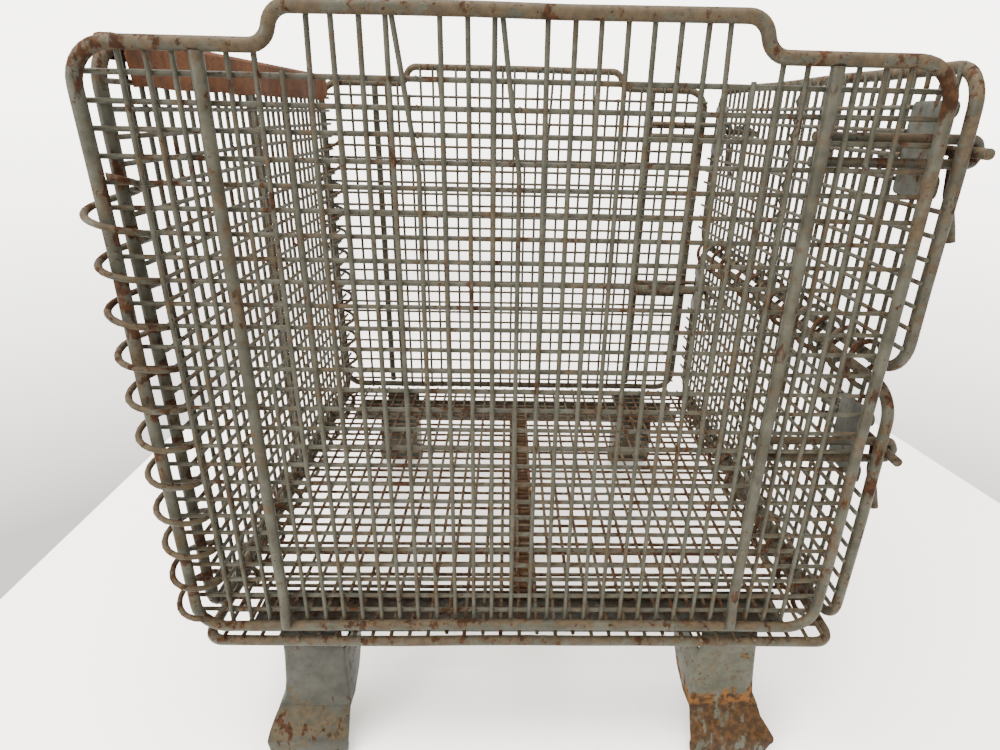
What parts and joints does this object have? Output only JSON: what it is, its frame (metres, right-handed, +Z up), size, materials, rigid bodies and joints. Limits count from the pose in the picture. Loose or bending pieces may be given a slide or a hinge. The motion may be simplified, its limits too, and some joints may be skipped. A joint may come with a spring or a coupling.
{
  "type": "collapsible wire mesh container",
  "caption": "Stackable open-topped storage container of welded wire mesh on sheet-steel feet, with sides joined by wire coil hinges and a latched drop gate in halves.",
  "frame": {"origin": "The floor under the middle of the whole object, on its front-to-back plane of symmetry.", "axes": "+Z is up. -Y is the front end panel that faces the viewer, and +X is the side with the two half gates."},
  "size_m": [0.4701, 0.4238, 0.4983],
  "materials": {
    "paint": "grey-green paint, dull and worn, with small rust spots",
    "worn_paint": "grey-green paint worn through to beige-brown oxidised steel",
    "rusty_wire": "rubbed and rusty steel with traces of paint",
    "rust": "matt red-brown rusty sheet steel"
  },
  "bodies": {
    "base": {"base_frame": "paint", "base_mesh": "paint", "base_front_channel": "rusty_wire", "base_back_channel": "rusty_wire", "base_centre_strap": "rust", "front_left_foot": "paint", "front_right_foot": "paint", "back_left_foot": "paint", "back_right_foot": "paint", "base_left_coil": "rusty_wire", "base_right_coil": "rusty_wire"},
    "left_wall": {"left_wall_frame": "paint", "left_wall_mesh": "paint", "left_wall_stiffener": "worn_paint", "left_wall_top_plate": "rust", "front_left_coil": "rusty_wire", "back_left_coil": "rusty_wire"},
    "front_panel": {"front_panel_frame": "worn_paint", "front_panel_left_upright": "paint", "front_panel_right_upright": "paint", "front_panel_mesh": "paint", "front_panel_upper_keeper_top": "worn_paint", "front_panel_upper_keeper_bottom": "worn_paint", "front_panel_lower_keeper_top": "worn_paint", "front_panel_lower_keeper_bottom": "worn_paint"},
    "back_panel": {"back_panel_frame": "worn_paint", "back_panel_left_upright": "paint", "back_panel_right_upright": "paint", "back_panel_mesh": "paint", "back_panel_upper_keeper_top": "worn_paint", "back_panel_upper_keeper_bottom": "worn_paint", "back_panel_lower_keeper_top": "worn_paint", "back_panel_lower_keeper_bottom": "worn_paint"},
    "lower_gate": {"lower_gate_frame": "worn_paint", "lower_gate_mesh": "paint", "lower_gate_stiffener": "worn_paint", "lower_gate_front_latch_plate": "paint", "lower_gate_front_latch_eye": "worn_paint", "lower_gate_front_bolt_guide": "worn_paint", "lower_gate_back_latch_plate": "paint", "lower_gate_back_latch_eye": "worn_paint", "lower_gate_back_bolt_guide": "worn_paint", "gate_coil": "rusty_wire"},
    "upper_gate": {"upper_gate_frame": "worn_paint", "upper_gate_mesh": "paint", "upper_gate_stiffener": "worn_paint", "upper_gate_front_latch_plate": "paint", "upper_gate_front_latch_eye": "worn_paint", "upper_gate_front_bolt_guide": "worn_paint", "upper_gate_back_latch_plate": "paint", "upper_gate_back_latch_eye": "worn_paint", "upper_gate_back_bolt_guide": "worn_paint"},
    "upper_front_bolt": {"upper_gate_front_bolt": "rusty_wire", "upper_gate_front_bolt_handle": "rusty_wire"},
    "upper_back_bolt": {"upper_gate_back_bolt": "rusty_wire", "upper_gate_back_bolt_handle": "rusty_wire"},
    "lower_front_bolt": {"lower_gate_front_bolt": "rusty_wire", "lower_gate_front_bolt_handle": "rusty_wire"},
    "lower_back_bolt": {"lower_gate_back_bolt": "rusty_wire", "lower_gate_back_bolt_handle": "rusty_wire"}
  },
  "joints": [
    {"name": "left_wall_hinge", "type": "hinge", "parent": "base", "child": "left_wall", "pos_m": [-0.2178, 0, 0.11425], "axis": [0, -1, 0], "range_deg": [0, 90], "deforming": ["base_left_coil"]},
    {"name": "front_panel_hinge", "type": "hinge", "parent": "left_wall", "child": "front_panel", "pos_m": [-0.2188, -0.19565, 0.1193], "axis": [0, 0, -1], "range_deg": [0, 90], "deforming": ["front_left_coil"]},
    {"name": "back_panel_hinge", "type": "hinge", "parent": "left_wall", "child": "back_panel", "pos_m": [-0.2188, 0.19565, 0.1193], "axis": [0, 0, 1], "range_deg": [0, 90], "deforming": ["back_left_coil"]},
    {"name": "lower_gate_hinge", "type": "hinge", "parent": "base", "child": "lower_gate", "pos_m": [0.2188, 0, 0.11425], "axis": [0, 1, 0], "range_deg": [0, 90], "deforming": ["base_right_coil"]},
    {"name": "upper_gate_hinge", "type": "hinge", "parent": "lower_gate", "child": "upper_gate", "pos_m": [0.2229, 0, 0.30525], "axis": [0, 1, 0], "range_deg": [0, 160], "deforming": ["gate_coil"]},
    {"name": "upper_front_bolt_slide", "type": "slide", "parent": "upper_gate", "child": "upper_front_bolt", "axis": [0, 1, 0], "range_m": [0, 0.024]},
    {"name": "upper_back_bolt_slide", "type": "slide", "parent": "upper_gate", "child": "upper_back_bolt", "axis": [0, -1, 0], "range_m": [0, 0.024]},
    {"name": "lower_front_bolt_slide", "type": "slide", "parent": "lower_gate", "child": "lower_front_bolt", "axis": [0, 1, 0], "range_m": [0, 0.024]},
    {"name": "lower_back_bolt_slide", "type": "slide", "parent": "lower_gate", "child": "lower_back_bolt", "axis": [0, -1, 0], "range_m": [0, 0.024]}
  ]
}
